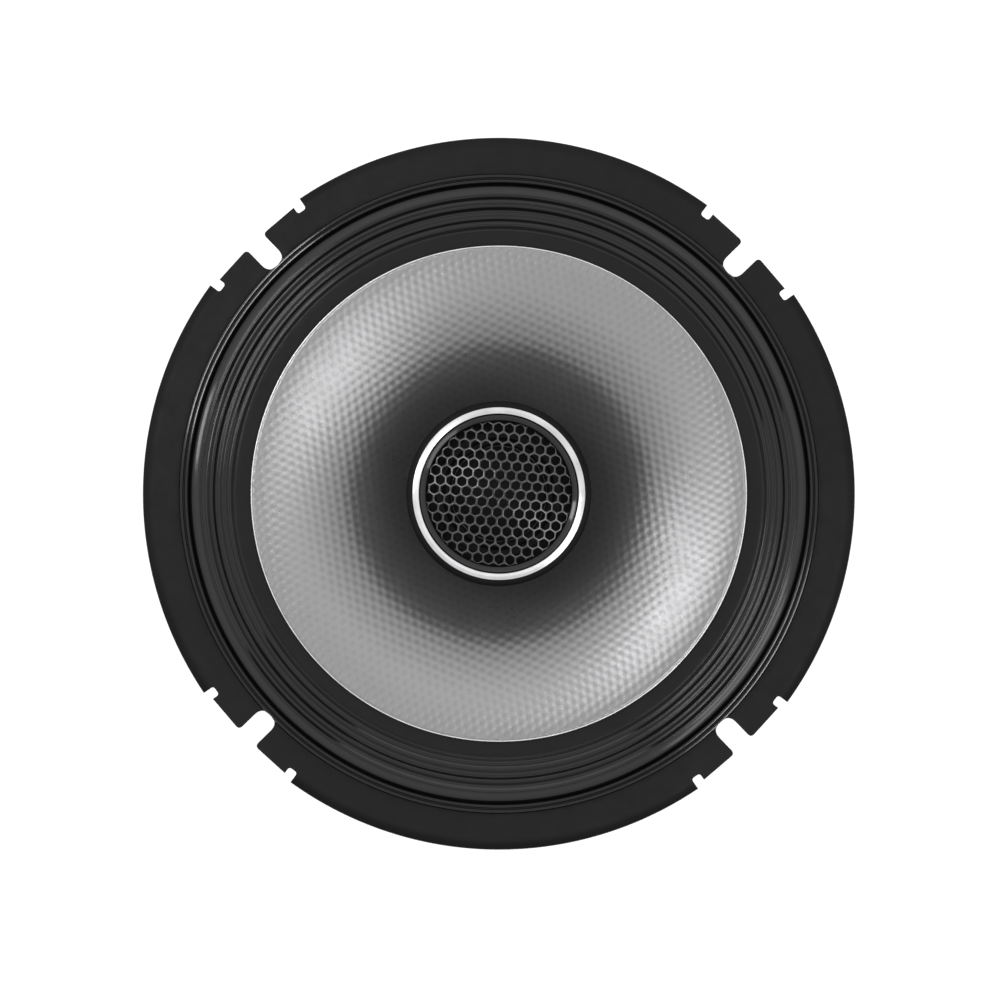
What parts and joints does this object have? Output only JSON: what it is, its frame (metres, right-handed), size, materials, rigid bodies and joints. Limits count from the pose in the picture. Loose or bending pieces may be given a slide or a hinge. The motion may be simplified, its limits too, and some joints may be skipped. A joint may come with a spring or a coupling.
{
  "type": "coaxial car speaker",
  "caption": "Round coaxial car speaker: notched steel basket, woven cone on a ribbed rubber surround, ring magnet and a dome tweeter on a post.",
  "frame": {"origin": "on the speaker's axis, at the back face of the motor's yoke, on which it stands", "axes": "+Z along the speaker's axis towards the listener; the four screw slots lie between X and Y, and the terminals are at +X -Y"},
  "size_m": [0.165, 0.165, 0.0633],
  "materials": {
    "basket_steel": "satin black powder coat, fine grain",
    "surround_rubber": "moulded butyl rubber, soft sheen on the ribs",
    "cone_weave": "woven silver-grey fibre under clear resin, glossy",
    "spider_cloth": "resin-dipped woven cloth, pressed in rings",
    "coil_former": "thin rolled aluminium",
    "copper_wire": "enamelled copper wire, close wound",
    "plated_steel": "zinc plated, lightly turned",
    "ferrite": "ground ferrite, matt and slightly speckled",
    "post_aluminium": "turned aluminium",
    "tweeter_plastic": "moulded black plastic, satin",
    "bezel_chrome": "bright chrome plate",
    "grille_steel": "thin black-nickel hexagon mesh",
    "dome_silk": "doped silk, fine weave",
    "terminal_brass": "stamped brass, lightly tarnished",
    "board_phenolic": "dark laminated board",
    "capacitor_sleeve": "shrunk plastic sleeve, glossy, unprinted",
    "foam_tape": "closed-cell foam tape",
    "tinsel_braid": "braided tinsel wire",
    "lead_red": "soft insulated wire",
    "lead_black": "soft insulated wire"
  },
  "bodies": {
    "basket_body": {"basket": "basket_steel", "surround": "surround_rubber", "spider": "spider_cloth", "t_yoke": "plated_steel", "ferrite_magnet": "ferrite", "top_plate": "plated_steel", "basket_rivet_1": "plated_steel", "basket_rivet_2": "plated_steel", "basket_rivet_3": "plated_steel", "basket_rivet_4": "plated_steel", "tweeter_post": "post_aluminium", "post_nut": "plated_steel", "tweeter_cup": "tweeter_plastic", "tweeter_bezel": "bezel_chrome", "tweeter_inner_ring": "tweeter_plastic", "tweeter_grille": "grille_steel", "tweeter_frame": "tweeter_plastic", "tweeter_dome_surround": "dome_silk", "tweeter_pole_cap": "plated_steel", "tweeter_magnet": "ferrite", "tweeter_pot": "plated_steel", "terminal_board": "board_phenolic", "terminal_rivet_1": "terminal_brass", "terminal_rivet_2": "terminal_brass", "terminal_tab_positive": "terminal_brass", "terminal_tab_negative": "terminal_brass", "crossover_capacitor": "capacitor_sleeve", "capacitor_foam_pad": "foam_tape", "capacitor_lead": "tinsel_braid", "tinsel_lead_positive": "tinsel_braid", "tinsel_lead_negative": "tinsel_braid", "tweeter_lead_positive": "lead_red", "tweeter_lead_negative": "lead_black"},
    "cone_body": {"cone": "cone_weave", "voice_coil_former": "coil_former", "voice_coil_winding": "copper_wire"},
    "dome_body": {"tweeter_dome": "dome_silk", "tweeter_voice_coil": "copper_wire"}
  },
  "joints": [
    {"name": "cone_excursion", "type": "slide", "parent": "basket_body", "child": "cone_body", "axis": [0, 0, 1], "range_m": [-0.004, 0.004], "stiffness_N_per_m": 2000, "deforming": ["surround", "spider", "tinsel_lead_positive", "tinsel_lead_negative"]},
    {"name": "tweeter_dome_excursion", "type": "slide", "parent": "basket_body", "child": "dome_body", "axis": [0, 0, 1], "range_m": [-0.0004, 0.0004], "stiffness_N_per_m": 5000, "deforming": ["tweeter_dome_surround"]}
  ]
}
